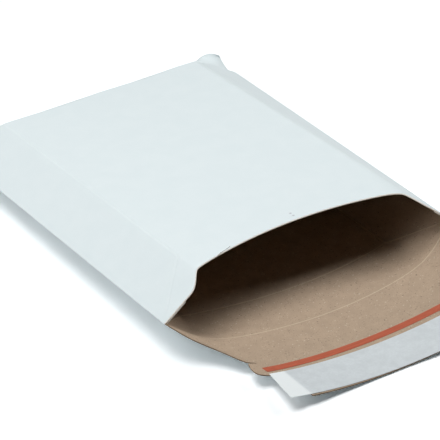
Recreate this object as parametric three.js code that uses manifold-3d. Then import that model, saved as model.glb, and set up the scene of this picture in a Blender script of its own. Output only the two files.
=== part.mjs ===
// Rigid board envelope with a pocket that opens to a flattened hexagon.
// Millimetres, +X across the mouth, +Y from the mouth to the back fold, +Z up.
// One die-cut blank is folded over at the back and glued along both long edges.
// Its flap carries a tear tape, a band of adhesive and the paper that covers it.

import * as THREE from 'three';
import { mergeVertices } from 'three/addons/utils/BufferGeometryUtils.js';
import Module from 'manifold-3d';

// Blank, measured flat
const boardThickness = 0.8;
const blankWidth = 257;
const panelLength = 301;
const sideScoreInset = 41.5;
const glueFlapWidth = 20;
const longEdgeWall = 2;

// Opened pocket
const mouthHalfDepth = 26.6;
const backHalfDepth = 18.7;
const rightFullnessHeight = 0.9;
const mouthArchHeight = 3;
const mouthArchLength = 70;
const mouthRoundingRadius = 7;
const mouthRoundingLength = 30;

// Mouth edge of the upper panel: a shallow recess with an S at each end
const recessDepth = 23.9;
const recessFall = 9.2;
const recessFallWidth = 80;
const recessOffset = 5;
const recessStartInset = 26.5;
const recessEndInset = 44;

// Scores
const scoreDepth = 0.3;
const scoreHalfWidth = 0.9;
const cornerScoreReach = 34;
const upperBendReach = 55;
const lowerBendReach = 22;
const flapFoldSag = 17.5;

// Back fold
const foldRadius = 7;
const backBendInset = 18;
const backBendSlantLength = 4.5;
const seamEndInset = 11;
const foldEndInset = 9;
const foldCornerLift = 7;
const foldCornerInset = 20;
const foldCornerSpread = 10.5;

// Closure flap
const flapLength = 101.8;
const flapShoulderInset = 40;
const flapLipInset = 43.2;
const flapTabInset = 41;
const flapEndInset = 58;
const shoulderFromEnd = 59.5;
const lipFromEnd = 54.6;
const tabStartFromEnd = 50;
const tabEndFromEnd = 44;
const tabCornerRadius = 6;
const shoulderCurve = 1.7;
const flapLiftLength = 34;
const flapRounding = 12;
const flapRoundingReach = 30;
const flapTroughHeight = 19.8;
const flapEndTroughHeight = 28.5;
const flapTroughLength = 18;
const flapEndHeight = 3;

// Tear notch at the left end of the tape
const notchFromEnd = 53.6;
const notchDepth = 7;
const notchWidth = 1;
const notchAngle = THREE.MathUtils.degToRad(-33);

// Strips laid on the inside of the flap
const stripGap = 0.3;
const stripThickness = 0.3;
const tapeFromEnd = 44.1;
const tapeWidth = 6;
const tapeEndInset = 48;
const adhesiveFromEnd = 31;
const adhesiveWidth = 28;
const adhesiveEndInset = 59.5;
const linerFromEnd = 34;
const linerWidth = 33.7;
const linerEndInset = 45.5;
const linerEndSlant = 6;
const linerSkew = THREE.MathUtils.degToRad(0.8);

// Values worked out from the sizes above
const halfBlank = blankWidth / 2;
const scorePlace = halfBlank - sideScoreInset;
const foldTurn = Math.PI * foldRadius;
const backBendStart = panelLength - backBendInset;
const seamEnd = panelLength - seamEndInset;
const foldCornerPlace = halfBlank - foldCornerInset;
const recessCurveStart = halfBlank - recessStartInset;
const recessCurveEnd = halfBlank - recessEndInset;
const tapePlace = flapLength - tapeFromEnd;
const adhesivePlace = flapLength - adhesiveFromEnd;
const linerPlace = flapLength - linerFromEnd;
const notchPlace = flapLength - notchFromEnd;

const { lerp, clamp, smoothstep } = THREE.MathUtils;

// Half the depth of the opened pocket, which stands a little fuller on the right
function halfDepth(u, v) {
  const level = lerp(mouthHalfDepth, backHalfDepth, clamp(v / panelLength, 0, 1));
  return level + rightFullnessHeight * (u / halfBlank);
}

// Half the height of the round back fold, which opens up in a hump near each end
function foldHalfHeight(u) {
  const fromHump = (Math.abs(u) - foldCornerPlace) / foldCornerSpread;
  return foldRadius + foldCornerLift * Math.exp(-fromHump * fromHump);
}

// Half the width of the panels, cut in a little towards the ends of the back fold
function panelHalfWidth(v) {
  return halfBlank - foldEndInset * smoothstep(v, backBendStart, panelLength);
}

// How far a point lies beyond the long score, rounded off where none is pressed
function beyondScore(u, rounding) {
  const beyond = Math.abs(u) - scorePlace;
  if (Math.abs(beyond) >= 30 * rounding) {
    return Math.max(0, beyond);
  }
  return rounding * Math.log1p(Math.exp(beyond / rounding));
}

// How far up its side facet a point of a panel lies: 0 on the long edge, 1 on the score
function facetShare(u, edge, rounding = 0) {
  if (Math.abs(u) >= edge) {
    return 0;
  }
  return clamp(1 - beyondScore(u, rounding) / (edge - scorePlace), 0, 1);
}

// Distance of a panel's outer face from the middle plane of the pocket
function panelOffset(u, v, rounding = 0) {
  const edge = panelHalfWidth(v);
  const share = Math.min(1, Math.abs(u) / edge);
  const facet = facetShare(u, edge, rounding);
  const flatBendStart = backBendStart + backBendSlantLength * (u / halfBlank);
  const bendStart = lerp(flatBendStart, seamEnd, share ** 8);
  const bend = clamp((v - bendStart) / (panelLength - bendStart), 0, 1);
  return lerp(halfDepth(u, v) * facet, foldHalfHeight(u), bend);
}

// Score from each mouth corner to the end of the long scores, then a bend across
function cornerLine(u, centreReach) {
  const facet = facetShare(u, halfBlank);
  if (facet < 1) {
    return cornerScoreReach * facet;
  }
  return lerp(centreReach, cornerScoreReach, (u / scorePlace) ** 2);
}

const upperBend = (u) => cornerLine(u, upperBendReach);
const lowerBend = (u) => cornerLine(u, lowerBendReach);

// Height of the flap: its corners fall from the long edges and it curls up at its sides
function flapHeight(u, v, rounding = 0) {
  const corner = halfDepth(u, 0) * (beyondScore(u, rounding) / sideScoreInset);
  const curl = lerp(flapTroughHeight, flapEndTroughHeight, smoothstep(-v, tapePlace, flapLength));
  const trough = curl * (1 - Math.exp(v / flapTroughLength)) * (u / halfBlank) ** 2;
  const rise = flapEndHeight * (v / flapLength) ** 2;
  return corner * Math.exp(v / flapLiftLength) + trough + rise;
}

// Board does not stretch: its run along one axis is what its slope leaves over
function runAlong(height, end) {
  const steps = 24;
  const step = end / steps;
  let run = 0;
  for (let k = 0; k < steps; k += 1) {
    const slope = (height((k + 1) * step) - height(k * step)) / step;
    run += step * Math.sqrt(Math.max(0, 1 - slope * slope));
  }
  return run;
}

function placeAcross(u, v) {
  if (Math.abs(u) < 1e-6) {
    return 0;
  }
  const height = v < 0 ? (a) => flapHeight(a, v) : (a) => panelOffset(a, v);
  const flat = Math.sign(u) * Math.min(Math.abs(u), scorePlace);
  const inner = runAlong(height, flat);
  const outer = runAlong((a) => height(flat + a), u - flat || 1e-6);
  return inner + outer;
}

function placeAlong(u, v) {
  const start = backBendStart - backBendSlantLength;
  if (v <= start) {
    return v;
  }
  return start + runAlong((a) => panelOffset(u, start + a), v - start);
}

// The right end of the mouth is pressed round rather than sharp along its long score
function upperRounding(u, s) {
  return u > 0 ? mouthRoundingRadius * Math.exp(-s / mouthRoundingLength) : 0;
}

// A point of the blank's outer face. The second number runs from the mouth over the
// upper panel, round the back fold, back over the lower panel and out along the flap.
function boardPoint(u, s) {
  if (s <= panelLength) {
    const bow = Math.max(0, 1 - (u / scorePlace) ** 2);
    const arch = mouthArchHeight * bow * Math.exp(-s / mouthArchLength);
    const z = halfDepth(u, s) + panelOffset(u, s, upperRounding(u, s)) + arch;
    return new THREE.Vector3(placeAcross(u, s), placeAlong(u, s), z);
  }
  if (s < panelLength + foldTurn) {
    const angle = Math.PI * (0.5 - (s - panelLength) / foldTurn);
    const y = placeAlong(u, panelLength) + foldRadius * Math.cos(angle);
    const z = halfDepth(u, panelLength) + foldHalfHeight(u) * Math.sin(angle);
    return new THREE.Vector3(placeAcross(u, panelLength), y, z);
  }
  const v = 2 * panelLength + foldTurn - s;
  const beforeBend = lowerBend(u) - v;
  if (beforeBend <= 0) {
    const z = halfDepth(u, v) - panelOffset(u, v);
    return new THREE.Vector3(placeAcross(u, v), placeAlong(u, v), z);
  }
  const rounding = flapRounding * (1 - Math.exp(-beforeBend / flapRoundingReach));
  if (v < 0) {
    return new THREE.Vector3(placeAcross(u, v), v, flapHeight(u, v, rounding));
  }
  const z = halfDepth(u, v) * (beyondScore(u, rounding) / sideScoreInset);
  return new THREE.Vector3(placeAcross(u, v), v, z);
}

const lowerPlace = (v) => 2 * panelLength + foldTurn - v;

function boardNormal(u, s) {
  const reach = 0.4;
  const left = Math.max(u - reach, -halfBlank);
  const right = Math.min(u + reach, halfBlank);
  const acrossStep = boardPoint(right, s).sub(boardPoint(left, s));
  const alongStep = boardPoint(u, s + reach).sub(boardPoint(u, s - reach));
  return acrossStep.cross(alongStep).normalize();
}

// Outline of the upper panel at the mouth
function mouthEdge(u) {
  const arc = recessDepth - recessFall * ((u - recessOffset) / recessFallWidth) ** 2;
  const curve = 1 - smoothstep(Math.abs(u), recessCurveEnd, recessCurveStart);
  return arc * curve;
}

const flapFold = (u) => -flapFoldSag * (1 - (u / halfBlank) ** 2);

// Outline of half the flap, as pairs of the distance from its end and the half width:
// the lip over the tear notch, the tab below it and the tapered end
const flapCorners = [
  [shoulderFromEnd, halfBlank - flapShoulderInset],
  [lipFromEnd, halfBlank - flapLipInset],
  [tabStartFromEnd, halfBlank - flapTabInset],
  [tabEndFromEnd, halfBlank - flapTabInset],
  [0, halfBlank - flapEndInset],
];

// Half the width of the flap, with its hollow shoulders and the corner of its tab rounded
function flapHalfWidth(v) {
  const fromEnd = flapLength + v;
  const shoulderLength = flapLength - shoulderFromEnd;
  if (fromEnd >= shoulderFromEnd) {
    const share = 1 - (1 + v / shoulderLength) ** shoulderCurve;
    return lerp(halfBlank, halfBlank - flapShoulderInset, share);
  }
  const k = flapCorners.findIndex(([place]) => place <= fromEnd);
  const [[above, wide], [below, narrow]] = [flapCorners[k - 1], flapCorners[k]];
  const straight = lerp(narrow, wide, (fromEnd - below) / (above - below));
  const fromCorner = (fromEnd - tabEndFromEnd) / tabCornerRadius;
  return straight - 0.2 * tabCornerRadius * Math.exp(-fromCorner * fromCorner);
}

// Stations across half the blank, close together at the scores and the S of the mouth
const glueEdge = halfBlank - glueFlapWidth;
const innerStations = [0, 1, 2, 3, 4, 5].map((k) => (recessCurveEnd * k) / 5.5);
const curveStations = [1, 2, 3, 4].map((k) => lerp(recessCurveEnd, recessCurveStart, k / 5));
const edgeStations = [1, 2, 3, 4].map((k) => lerp(glueEdge, halfBlank, k / 5));
const halfStations = [
  ...innerStations, recessCurveEnd, ...curveStations, recessCurveStart,
  scorePlace - scoreHalfWidth, scorePlace, scorePlace + scoreHalfWidth,
  glueEdge - scoreHalfWidth / 3, glueEdge + scoreHalfWidth / 3, ...edgeStations, halfBlank,
].sort((a, b) => a - b);
const stations = [...halfStations.slice(1).reverse().map((u) => -u), ...halfStations];

const unscored = () => false;

// A row of the blank gives the place along the blank at each station, whether it is
// pressed in there, and the half width that the stations beyond the scores fit into
function bodyRow(place, scored = unscored, width = halfBlank) {
  return { place, scored, width, kept: scorePlace };
}

function stationPlace(station, row) {
  const beyond = Math.abs(station) - row.kept;
  if (beyond <= 0) {
    return station;
  }
  const scale = (row.width - row.kept) / (halfBlank - row.kept);
  return Math.sign(station) * (row.kept + beyond * scale);
}

function scoreRows(line, isScored) {
  const fade = (u) => Math.min(1, (halfBlank - Math.abs(u)) / (scoreHalfWidth * 11));
  const spread = (u) => scoreHalfWidth * fade(u);
  return [
    bodyRow((u) => line(u) - spread(u)),
    bodyRow(line, isScored),
    bodyRow((u) => line(u) + spread(u)),
  ];
}

// A row at shares of the panel's length, bowed towards the corner scores near the mouth
function bowedRow(edge, centre) {
  return bodyRow((u) => panelLength * lerp(centre, edge, (u / halfBlank) ** 2));
}

const onFacet = (u) => Math.abs(u) > scorePlace && Math.abs(u) < halfBlank;
const insideEdges = (u) => Math.abs(u) < halfBlank;

const backPlaces = [
  ...[0.6, 0.76, 0.88].map((share) => share * panelLength),
  ...[-0.17, -0.03, 0.11, 0.25].map((share) => backBendStart + share * backBendInset),
  ...[0, 0.32, 0.64, 1].map((share) => seamEnd + share * seamEndInset),
];

const backRows = backPlaces.map((v) => bodyRow(() => v, unscored, panelHalfWidth(v)));
const foldPlaces = [1, 2, 3, 4, 5].map((k) => panelLength + (foldTurn * k) / 6);
const foldRows = foldPlaces.map((s) => bodyRow(() => s, unscored, panelHalfWidth(panelLength)));

const upperRows = [
  bodyRow(mouthEdge),
  bodyRow((u) => (mouthEdge(u) + upperBend(u)) / 2),
  ...scoreRows(upperBend, onFacet),
  bowedRow(0.15, 0.253),
  bowedRow(0.28, 0.345),
  bowedRow(0.43, 0.458),
  ...backRows,
];

const lowerRows = [
  ...backRows.toReversed(),
  bowedRow(0.43, 0.43),
  bowedRow(0.28, 0.285),
  bowedRow(0.15, 0.153),
  ...scoreRows(lowerBend, insideEdges).toReversed(),
  bodyRow((u) => (lowerBend(u) + flapFold(u)) / 2),
  ...scoreRows(flapFold, insideEdges).toReversed(),
];

// Rows of the flap, as the place of their ends and of their middle
const shoulderPlaces = [[0.12, 0.5], [0.26, 0.59], [0.43, 0.71], [0.74, 0.87], [1, 1]].map(
  ([edge, centre]) => [edge, centre].map((share) => share * (shoulderFromEnd - flapLength)),
);
const tabShares = [1.07, 1, 0.93, 0.86, 0.68, 0.45, 0.22, 0];
const flapPlaces = [
  ...shoulderPlaces,
  ...[lipFromEnd, tabStartFromEnd, ...tabShares.map((share) => share * tabEndFromEnd)]
    .map((fromEnd) => [fromEnd - flapLength, fromEnd - flapLength]),
];
const flapRows = flapPlaces.map(([edge, centre]) => ({
  place: (u) => lerp(centre, edge, (u / halfBlank) ** 2),
  scored: unscored,
  width: flapHalfWidth(edge),
  kept: 0,
}));

const mirrorPlace = (row) => ({ ...row, place: (u) => lowerPlace(row.place(u)) });
const rows = [
  ...upperRows,
  ...foldRows,
  ...lowerRows.map(mirrorPlace),
  ...flapRows.map(mirrorPlace),
];

// The long edges are closed where the upper panel is glued down on the side flaps
function isSeam(s, onEdge) {
  const v = s > panelLength ? lowerPlace(s) : s;
  return onEdge && v >= -1e-6 && v <= seamEnd + 1e-6;
}

function wallAt(u, s) {
  const doubled = s <= seamEnd && Math.abs(u) > glueEdge;
  return doubled ? 2 * boardThickness : boardThickness;
}

function isLongScore(station, s) {
  const v = s > panelLength ? lowerPlace(s) : s;
  const bend = s > panelLength ? lowerBend(scorePlace) : upperBend(scorePlace);
  return Math.abs(Math.abs(station) - scorePlace) < 1e-6 && v >= bend && v <= backBendStart;
}

function boardVertices() {
  return rows.map((row) => stations.map((station) => {
    const u = stationPlace(station, row);
    const s = row.place(station);
    const onEdge = Math.abs(station) === halfBlank;
    const outer = boardPoint(u, s);
    if (isSeam(s, onEdge)) {
      const inner = outer.clone();
      inner.x -= Math.sign(u) * longEdgeWall;
      return { outer, inner, seam: true };
    }
    const normal = boardNormal(u, s);
    const pressed = row.scored(station) || isLongScore(station, s);
    outer.addScaledVector(normal, pressed ? -scoreDepth : 0);
    const inner = outer.clone().addScaledVector(normal, -wallAt(u, s));
    return { outer, inner, seam: false };
  }));
}

// Collects triangles and makes one closed geometry of them
class Skin {
  constructor() {
    this.coordinates = [];
  }

  quad(a, b, c, d) {
    this.triangle(a, b, c);
    this.triangle(a, c, d);
  }

  triangle(a, b, c) {
    const close = 1e-4;
    if (a.distanceTo(b) < close || b.distanceTo(c) < close || c.distanceTo(a) < close) {
      return;
    }
    this.coordinates.push(...a.toArray(), ...b.toArray(), ...c.toArray());
  }

  geometry() {
    const soup = new THREE.BufferGeometry();
    soup.setAttribute('position', new THREE.Float32BufferAttribute(this.coordinates, 3));
    return mergeVertices(soup, 1e-4);
  }
}

function boardGeometry() {
  const grid = boardVertices();
  const skin = new Skin();
  const last = stations.length - 1;
  for (let j = 0; j + 1 < grid.length; j += 1) {
    const [here, next] = [grid[j], grid[j + 1]];
    for (let i = 0; i < last; i += 1) {
      skin.quad(here[i].outer, here[i + 1].outer, next[i + 1].outer, next[i].outer);
      skin.quad(next[i].inner, next[i + 1].inner, here[i + 1].inner, here[i].inner);
    }
    if (!(here[0].seam && next[0].seam)) {
      skin.quad(here[0].outer, next[0].outer, next[0].inner, here[0].inner);
      skin.quad(here[last].outer, here[last].inner, next[last].inner, next[last].outer);
    }
  }
  const [mouth, flapEnd] = [grid[0], grid[grid.length - 1]];
  for (let i = 0; i < last; i += 1) {
    skin.quad(mouth[i].outer, mouth[i].inner, mouth[i + 1].inner, mouth[i + 1].outer);
    skin.quad(flapEnd[i].outer, flapEnd[i + 1].outer, flapEnd[i + 1].inner, flapEnd[i].inner);
  }
  return skin.geometry();
}

// Cutting
const wasm = await Module();
wasm.setup();

function toManifold(geometry) {
  return new wasm.Manifold(new wasm.Mesh({
    numProp: 3,
    vertProperties: geometry.attributes.position.array,
    triVerts: geometry.index.array,
  }));
}

function toGeometry(manifold) {
  const mesh = manifold.getMesh();
  const geometry = new THREE.BufferGeometry();
  geometry.setAttribute('position', new THREE.BufferAttribute(mesh.vertProperties, 3));
  geometry.setIndex(new THREE.BufferAttribute(mesh.triVerts, 1));
  return geometry;
}

// An upright prism with a V outline: its tip points along +X, and at x = 0, where
// the edge is, it reaches a width to each side
function wedgeCutter(depth, width, height) {
  const outline = new THREE.Shape();
  outline.moveTo(-depth, -2 * width);
  outline.lineTo(depth, 0);
  outline.lineTo(-depth, 2 * width);
  outline.closePath();
  const prism = new THREE.ExtrudeGeometry(outline, { depth: height, bevelEnabled: false });
  prism.deleteAttribute('normal');
  prism.deleteAttribute('uv');
  return mergeVertices(prism);
}

function tearNotch() {
  const edge = boardPoint(-flapHalfWidth(-notchPlace), lowerPlace(-notchPlace));
  const cutter = wedgeCutter(notchDepth, notchWidth, 2 * mouthHalfDepth);
  cutter.rotateZ(notchAngle);
  cutter.translate(edge.x, edge.y, edge.z - mouthHalfDepth);
  return cutter;
}

function cutBoard() {
  return toGeometry(toManifold(boardGeometry()).subtract(toManifold(tearNotch())));
}

// A strip that follows the inside of the flap, a given height above the board. Its left
// end is cut aslant by a given length.
function stripGeometry({ place, width, endInset, height, skew = 0, slant = 0 }) {
  const halfLength = halfBlank - endInset;
  const columns = 30;
  const bands = Math.max(1, Math.round(width / 8));
  const point = (i, j, lift) => {
    const drop = place + (width * j) / bands;
    const u = lerp(-halfLength - (slant * j) / bands, halfLength, i / columns);
    const v = -drop - Math.tan(skew) * u;
    const s = lowerPlace(v);
    return boardPoint(u, s).addScaledVector(boardNormal(u, s), -(boardThickness + lift));
  };
  const under = (i, j) => point(i, j, height);
  const over = (i, j) => point(i, j, height + stripThickness);
  const skin = new Skin();
  for (let i = 0; i < columns; i += 1) {
    for (let j = 0; j < bands; j += 1) {
      skin.quad(over(i, j), over(i, j + 1), over(i + 1, j + 1), over(i + 1, j));
      skin.quad(under(i, j), under(i + 1, j), under(i + 1, j + 1), under(i, j + 1));
    }
    skin.quad(over(i, 0), over(i + 1, 0), under(i + 1, 0), under(i, 0));
    skin.quad(over(i, bands), under(i, bands), under(i + 1, bands), over(i + 1, bands));
  }
  for (let j = 0; j < bands; j += 1) {
    skin.quad(over(0, j), under(0, j), under(0, j + 1), over(0, j + 1));
    skin.quad(over(columns, j), over(columns, j + 1), under(columns, j + 1), under(columns, j));
  }
  return skin.geometry();
}

function tapeGeometry() {
  return stripGeometry({
    place: tapePlace,
    width: tapeWidth,
    endInset: tapeEndInset,
    height: stripGap,
  });
}

function adhesiveGeometry() {
  return stripGeometry({
    place: adhesivePlace,
    width: adhesiveWidth,
    endInset: adhesiveEndInset,
    height: stripGap,
    skew: linerSkew,
  });
}

function linerGeometry() {
  return stripGeometry({
    place: linerPlace,
    width: linerWidth,
    endInset: linerEndInset,
    slant: linerEndSlant,
    height: 2 * stripGap + stripThickness,
    skew: linerSkew,
  });
}

function part(name, geometry, colour, roughness) {
  const material = new THREE.MeshStandardMaterial({ color: colour, roughness, metalness: 0 });
  const mesh = new THREE.Mesh(geometry, material);
  mesh.name = name;
  return mesh;
}

const envelope = new THREE.Group();
envelope.add(
  part('board_envelope', cutBoard(), 0xe2ecee, 0.6),
  part('tear_tape', tapeGeometry(), 0xbc5c46, 0.35),
  part('seal_adhesive', adhesiveGeometry(), 0xcfc8b4, 0.5),
  part('release_liner', linerGeometry(), 0xdfe8ea, 0.45),
);

// The origin is the middle of the footprint
const box = new THREE.Box3().setFromObject(envelope);
const centre = box.getCenter(new THREE.Vector3());
envelope.position.set(-centre.x, -centre.y, -box.min.z);

export default envelope;
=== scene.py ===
# Rigid board envelope lying open: the visual model, laid out as a Blender add-on.
# One blank is folded and pressed in code, and the strips of its flap follow its surface.

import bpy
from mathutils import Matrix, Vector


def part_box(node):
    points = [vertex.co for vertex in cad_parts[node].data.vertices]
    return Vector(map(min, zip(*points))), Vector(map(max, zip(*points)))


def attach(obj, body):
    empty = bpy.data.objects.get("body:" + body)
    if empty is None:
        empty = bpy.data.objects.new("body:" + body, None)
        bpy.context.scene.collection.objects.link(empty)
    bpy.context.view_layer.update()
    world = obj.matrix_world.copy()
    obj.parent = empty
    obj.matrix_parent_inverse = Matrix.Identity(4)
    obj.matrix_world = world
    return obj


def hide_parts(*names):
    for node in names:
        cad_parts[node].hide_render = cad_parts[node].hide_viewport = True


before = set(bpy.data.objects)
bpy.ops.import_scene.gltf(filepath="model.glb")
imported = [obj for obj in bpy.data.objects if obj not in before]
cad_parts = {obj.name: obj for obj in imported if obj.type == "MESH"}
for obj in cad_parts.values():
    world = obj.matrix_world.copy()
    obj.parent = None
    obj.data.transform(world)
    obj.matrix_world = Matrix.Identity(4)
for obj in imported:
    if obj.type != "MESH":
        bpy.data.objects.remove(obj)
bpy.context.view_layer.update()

import math

import bmesh
import bpy
import numpy as np
from bpy.props import FloatProperty, FloatVectorProperty, IntProperty, PointerProperty
from bpy.types import Operator, Panel, PropertyGroup
from mathutils import Vector

bl_info = {
    "name": "Rigid board envelope",
    "version": (1, 0, 0),
    "blender": (4, 5, 0),
    "location": "View3D > Sidebar > Envelope",
    "description": "Folds an open board envelope with its tear tape and covered adhesive",
    "category": "Object",
}

BODY = "root"
MM = 0.001


def linear(hex_colour):
    """An sRGB hex value as linear red, green, blue and alpha."""
    values = []
    for place in (0, 2, 4):
        c = int(hex_colour[place:place + 2], 16) / 255
        values.append(c / 12.92 if c <= 0.04045 else ((c + 0.055) / 1.055) ** 2.4)
    return (*values, 1.0)


def length(name, description, millimetres):
    """A length that a user may change."""
    return FloatProperty(
        name=name, description=description, default=millimetres * MM,
        unit="LENGTH", precision=5,
    )


def colour(name, description, hex_colour):
    """A colour that a user may change."""
    return FloatVectorProperty(
        name=name, description=description, default=linear(hex_colour), size=4,
        min=0.0, max=1.0, subtype="COLOR",
    )


class BoardSizes(PropertyGroup):
    """Sizes of the blank and of the way it stands open."""

    thickness: length("Board thickness", "Thickness of the solid board", 0.8)
    blank_width: length("Blank width", "Width of the flat panels", 257.0)
    panel_length: length("Panel length", "From the mouth corners to the back fold", 301.0)
    side_inset: length("Side score inset", "From a long edge to its long score", 41.5)
    glue_flap: length("Glue flap width", "Width of the side flaps glued inside", 20.0)
    edge_wall: length("Long edge wall", "Board closed up at each long edge", 2.0)
    mouth_half_depth: length("Half depth at mouth", "Half the opened depth at the mouth", 26.6)
    back_half_depth: length("Half depth at back", "Half the opened depth at the back", 18.7)
    fullness: length("Right fullness", "How much fuller the right side stands", 0.9)
    arch: length("Mouth arch", "Rise of the middle of the mouth edge", 3.0)
    arch_length: length("Mouth arch length", "How far back the arch dies out", 70.0)
    mouth_rounding: length("Mouth rounding", "Rounding of the mouth's right end", 7.0)
    mouth_rounding_length: length("Mouth rounding length", "How far back it dies out", 30.0)
    recess: length("Mouth recess", "Depth of the recess in the mouth edge", 23.9)
    recess_fall: length("Recess fall", "How much shallower the recess's arc becomes", 9.2)
    recess_width: length("Recess fall width", "Over what width it becomes so", 80.0)
    recess_offset: length("Recess offset", "How far to the right the recess is deepest", 5.0)
    curve_start: length("S start", "Where the S of the mouth edge leaves the edge line", 102.0)
    curve_end: length("S end", "Where the S of the mouth edge meets the recess", 84.5)
    corner_reach: length("Corner score reach", "How far back the corner scores run", 34.0)
    upper_reach: length("Upper bend reach", "Middle of the bend across the upper panel", 55.0)
    lower_reach: length("Lower bend reach", "Middle of the bend across the lower panel", 22.0)
    flap_sag: length("Flap fold sag", "Sag of the curved score of the flap", 17.5)
    fold_radius: length("Fold radius", "Half the height of the back fold", 7.0)
    bend_start: length("Back bend start", "Where the panels turn down to the fold", 283.0)
    bend_slant: length("Back bend slant", "How much later they turn on the right", 4.5)
    seam_end: length("Seam end", "Where the glued long edges end", 290.0)
    fold_inset: length("Fold end inset", "How far the fold's ends are cut in", 10.5)
    hump: length("Fold hump", "How much the fold opens up near its ends", 7.0)
    hump_place: length("Fold hump place", "Distance of the humps from the middle", 111.0)
    hump_spread: length("Fold hump spread", "Spread of the humps", 12.0)
    flap: length("Flap length", "From the mouth corners to the flap's end", 97.3)
    lip_start: length("Notch lip", "From the mouth corners to the lip over the notch", 47.0)
    lift_length: length("Corner lift length", "How fast the flap's corners come down", 34.0)
    rounding: length("Corner rounding", "How softly the flap's corners bend", 12.0)
    rounding_reach: length("Rounding reach", "How soon the corners are soft", 30.0)
    trough_length: length("Trough length", "How soon the flap curls up at its sides", 18.0)
    trough: length("Flap curl", "Rise of the flap at the blank's half width", 18.6)
    end_trough: length("Flap end curl", "The same at the end of the flap", 20.5)
    curl_start: length("End curl start", "Where the flap begins to curl up more", 57.7)
    end_rise: length("Flap end rise", "How much the flap's end stands up", 0.8)
    score_depth: length("Score depth", "How deep the scores are pressed", 0.22)
    score_half: length("Score half width", "Half width of a pressed score", 0.9)
    score_bend: length("Score bend", "Softness of the bend along the long scores", 0.7)
    rim: length("Rim", "Width of the mouth edge's crushed corner", 0.4)
    mesh_step: length("Mesh step", "Widest spacing of the mesh", 3.0)


class StripSizes(PropertyGroup):
    """Sizes of the tear tape, the adhesive band and the liner."""

    gap: length("Gap", "Clearance between a strip and what it lies on", 0.06)
    thickness: length("Strip thickness", "Thickness of each strip", 0.14)
    tape_place: length("Tape place", "From the mouth corners to the tape", 56.0)
    tape_width: length("Tape width", "Width of the tear tape", 5.65)
    tape_half: length("Tape half length", "Half the length of the tape", 80.5)
    tape_slant: length("Tape end slant", "How far the tape's left end is cut aslant", -0.6)
    adhesive_place: length("Adhesive place", "From the mouth corners to the adhesive", 68.4)
    adhesive_width: length("Adhesive width", "Width of the adhesive band", 27.0)
    adhesive_half: length("Adhesive half length", "Half the length of the adhesive", 69.0)
    liner_place: length("Liner place", "From the mouth corners to the liner", 65.7)
    liner_width: length("Liner width", "Width of the liner", 31.4)
    liner_half: length("Liner half length", "Half the length of the liner", 80.7)
    liner_slant: length("Liner end slant", "How far the liner's left end is cut aslant", 4.9)
    notch_place: length("Notch place", "From the mouth corners to the tear notch", 47.5)
    notch_depth: length("Notch depth", "Depth of the tear notch", 7.0)
    notch_half: length("Notch half width", "Half width of the tear notch", 1.0)
    skew: FloatProperty(
        name="Liner slant", description="Slant of the liner on the flap",
        default=math.radians(0.84), subtype="ANGLE",
    )
    notch_angle: FloatProperty(
        name="Notch angle", description="Direction of the tear notch",
        default=math.radians(-17), subtype="ANGLE",
    )
    columns: IntProperty(name="Columns", description="Faces along a strip", default=150, min=8)


class TearSizes(PropertyGroup):
    """Places and sizes of the worn spots."""

    nick_start: length("Nick start", "Where the nick in the mouth edge starts", -67.2)
    nick_end: length("Nick end", "Where the nick in the mouth edge ends", -55.0)
    nick_rise: length("Nick rise", "How far the nick leaves the mouth edge", 1.8)
    tear_start: length("Tear start", "Where the torn spot of the flap's end starts", -67.8)
    tear_width: length("Tear width", "Width of that torn spot", 5.5)
    seed: IntProperty(name="Seed", description="Seed of the fibres", default=4)


class FinishColours(PropertyGroup):
    """Colours of the finishes."""

    coating: colour("Coating", "White clay coating of the board", "E4EEF0")
    scuff: colour("Scuffs", "Rubbed spots of the coating", "A9A8B2")
    inside: colour("Inside", "Grey-brown recycled layer of the board", "B9A38C")
    fleck: colour("Pale flecks", "Pale fibres in the recycled layer", "D8CDB8")
    # Painted highlight: the paler tint along the scores of the raw face.
    score_highlight: colour("Score lines", "Recycled layer where a score has crushed it", "E0D0B4")
    # Painted highlight: the mouth's cut edge is made near white so that it stays bright.
    edge: colour("Mouth edge", "Crushed cut edge of the mouth", "FCF6EA")
    core: colour("Cut edge", "Cut core of the board", "86735C")
    # Darker than the cut core: the torn core, and painted shade under the nick's lifted
    # sliver.
    torn_core_and_shade: colour("Torn fibre", "Torn core of the board", "7A6A56")
    tape: colour("Tape", "Red film of the tear tape", "BC6248")
    adhesive: colour("Adhesive", "Hot-melt adhesive", "CFC8B4")
    liner: colour("Liner", "Siliconed release paper on the adhesive", "D6DDE0")
    overhang: colour("Liner ends", "Siliconed release paper free of the adhesive", "EDF3F4")
    floor: colour("Floor", "Studio floor", "F8F9FA")


# The flap's cut edge in millimetres, as places from the mouth corners and half widths
# there: hollow shoulders, the lip over the tear notch, the rounded tab and its neck.
FLAP_OUTLINE = (
    (0, 128.5), (3, 126.0), (7, 122.4), (11, 118.6), (14.5, 114.8), (18, 110.2), (21, 106.2),
    (24, 102.6), (27, 99.5), (32, 95.4), (37.6, 91.8), (42.6, 88.7), (45.5, 86.7), (47, 85.8),
    (49, 86.4), (52.6, 87.7), (56, 88.6), (59.2, 88.7), (61.5, 88.0), (63.2, 86.5),
    (64.6, 83.9), (65.6, 80.2), (66.3, 75.8), (66.8, 71.6), (68.5, 70.2), (79, 69.6),
    (97.3, 69.0),
)

# Rows of the mesh in metres from the mouth corners. A bowed row is given at the long edges
# and in the middle. The ones at the back are straight, up to and past the seam's end.
UPPER_ROWS = ((0.045, 0.076), (0.085, 0.104), (0.130, 0.138))
LOWER_ROWS = ((0.130, 0.130), (0.085, 0.086), (0.045, 0.046))
BACK_ROWS = (0.180, 0.230, 0.264, 0.278, 0.2805, 0.283, 0.2855, 0.288)
FOLD_END_ROWS = (0.292, 0.294, 0.2965, 0.299)

# Steps round the back fold, the middle of the flap's first row, the rows beside a score
# in its half widths, and how far from the long edges they start to draw together.
FOLD_TURNS = 12
FLAP_MIDDLE = 20 * MM
SCORE_ROWS = (-2, -1, -0.5, 0, 0.5, 1, 2)
SCORE_NARROWING = 10 * MM

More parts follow.
